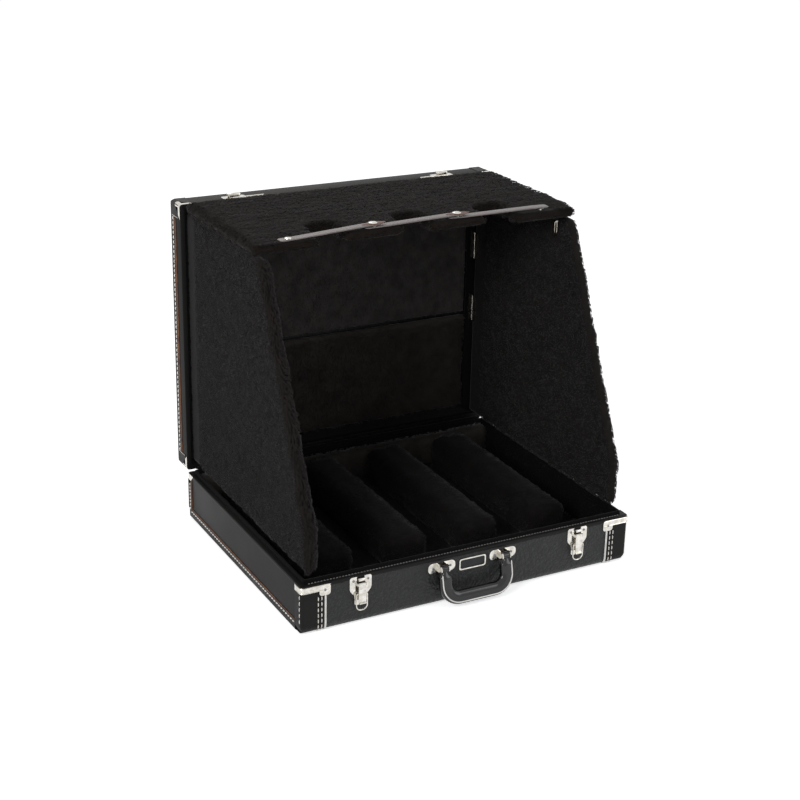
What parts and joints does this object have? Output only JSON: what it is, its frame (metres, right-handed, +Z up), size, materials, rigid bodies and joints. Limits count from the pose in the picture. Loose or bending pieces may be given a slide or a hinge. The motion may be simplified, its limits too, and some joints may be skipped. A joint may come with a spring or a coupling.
{
  "type": "guitar stand case",
  "caption": "Hinged-lid case that opens into a padded guitar stand: tray with padded channels, upright lid, folding side wings, notched top panel with strap, draw latches and handle.",
  "frame": {"origin": "middle of the tray's underside, on the floor", "axes": "+X to the right seen from the handle side, +Y from the handle to the lid, +Z up"},
  "size_m": [0.644, 0.5926, 0.6159],
  "materials": {
    "covered_board": "plywood under pebbled black vinyl",
    "plush": "long-pile black plush over foam",
    "plush_lining": "board covered in short black plush",
    "nickel": "polished nickel plate",
    "steel": "plated steel",
    "leather": "smooth black leather",
    "strap_leather": "semi-gloss grey-brown strap",
    "moulded_grip": "soft moulded dark grey",
    "piping": "off-white cord",
    "badge": "bright frame, blank dark field"
  },
  "bodies": {
    "base": {"base_front_wall": "covered_board", "base_rear_wall": "covered_board", "base_left_wall": "covered_board", "base_right_wall": "covered_board", "base_floor": "covered_board", "front_liner": "plush_lining", "rear_liner": "plush_lining", "side_liners": "plush_lining", "floor_pad": "plush", "ridge_pads": "plush", "rear_bolster": "plush", "base_hinge_leaves": "steel", "lid_hinge_pins": "steel", "handle_mounts": "nickel", "handle_pins": "steel", "latch_plates": "nickel", "latch_pins": "steel", "front_leathers": "leather", "front_piping": "piping", "front_corners": "nickel", "rear_caps": "nickel", "badge_plate": "badge", "front_screws": "nickel"},
    "lid": {"lid_top_wall": "covered_board", "lid_bottom_wall": "covered_board", "lid_left_wall": "covered_board", "lid_right_wall": "covered_board", "lid_back_board": "covered_board", "lid_end_linings": "plush_lining", "lid_side_linings": "plush_lining", "upper_back_lining": "plush_lining", "lower_back_pad": "plush", "hinge_battens": "plush_lining", "lid_hinge_leaves": "steel", "wing_frame_leaves": "steel", "wing_hinge_pins": "steel", "panel_frame_leaves": "steel", "panel_hinge_pins": "steel", "lid_keepers": "nickel", "lid_caps": "nickel"},
    "wing_left": {"wing_left": "plush", "wing_left_leaves": "steel", "catch_plate_left": "nickel"},
    "wing_right": {"wing_right": "plush", "wing_right_leaves": "steel", "catch_plate_right": "nickel"},
    "catch_left": {"catch_lever_left": "nickel"},
    "catch_right": {"catch_lever_right": "nickel"},
    "top_panel": {"top_panel": "plush", "panel_leaves": "steel", "panel_keepers": "steel", "strap_studs": "nickel"},
    "strap_left": {"strap_left": "strap_leather"},
    "strap_middle": {"strap_middle": "strap_leather"},
    "strap_right": {"strap_right": "strap_leather"},
    "handle": {"handle_grip": "moulded_grip"},
    "lever_left": {"latch_lever_left": "nickel"},
    "lever_right": {"latch_lever_right": "nickel"},
    "loop_left": {"latch_loop_left": "nickel"},
    "loop_right": {"latch_loop_right": "nickel"}
  },
  "joints": [
    {"name": "lid_tip", "type": "hinge", "parent": "base", "child": "lid", "pos_m": [0, 0.257, 0.0905], "axis": [-1, 0, 0], "range_deg": [0, 90]},
    {"name": "wing_left_fold", "type": "hinge", "parent": "lid", "child": "wing_left", "pos_m": [-0.2915, 0.288, 0.3475], "axis": [0, 0, 1], "range_deg": [0, 90]},
    {"name": "wing_right_fold", "type": "hinge", "parent": "lid", "child": "wing_right", "pos_m": [0.2915, 0.2685, 0.3475], "axis": [0, 0, -1], "range_deg": [0, 90]},
    {"name": "panel_lift", "type": "hinge", "parent": "lid", "child": "top_panel", "pos_m": [0, 0.2569, 0.6043], "axis": [-1, 0, 0], "range_deg": [0, 90]},
    {"name": "strap_left_swing", "type": "hinge", "parent": "top_panel", "child": "strap_left", "pos_m": [-0.243, -0.035, 0.6074], "axis": [0, 0, -1], "range_deg": [0, 90]},
    {"name": "strap_middle_swing", "type": "hinge", "parent": "top_panel", "child": "strap_middle", "pos_m": [-0.081, -0.021, 0.6074], "axis": [0, 0, -1], "range_deg": [0, 90]},
    {"name": "strap_right_swing", "type": "hinge", "parent": "top_panel", "child": "strap_right", "pos_m": [0.081, -0.021, 0.6074], "axis": [0, 0, -1], "range_deg": [0, 90]},
    {"name": "handle_swing", "type": "hinge", "parent": "base", "child": "handle", "pos_m": [0, -0.264, 0.071], "axis": [-1, 0, 0], "range_deg": [0, 100]},
    {"name": "lever_left_lift", "type": "hinge", "parent": "base", "child": "lever_left", "pos_m": [-0.213, -0.2602, 0.075], "axis": [-1, 0, 0], "range_deg": [0, 100]},
    {"name": "lever_right_lift", "type": "hinge", "parent": "base", "child": "lever_right", "pos_m": [0.213, -0.2602, 0.075], "axis": [-1, 0, 0], "range_deg": [0, 100]},
    {"name": "loop_left_swing", "type": "hinge", "parent": "lever_left", "child": "loop_left", "pos_m": [-0.213, -0.2602, 0.058], "axis": [-1, 0, 0], "range_deg": [0, 130]},
    {"name": "loop_right_swing", "type": "hinge", "parent": "lever_right", "child": "loop_right", "pos_m": [0.213, -0.2602, 0.058], "axis": [-1, 0, 0], "range_deg": [0, 130]},
    {"name": "catch_left_lift", "type": "hinge", "parent": "wing_left", "child": "catch_left", "pos_m": [-0.2893, -0.012, 0.5743], "axis": [0, 1, 0], "range_deg": [-100, 0]},
    {"name": "catch_right_lift", "type": "hinge", "parent": "wing_right", "child": "catch_right", "pos_m": [0.2893, -0.012, 0.5743], "axis": [0, -1, 0], "range_deg": [-100, 0]}
  ]
}
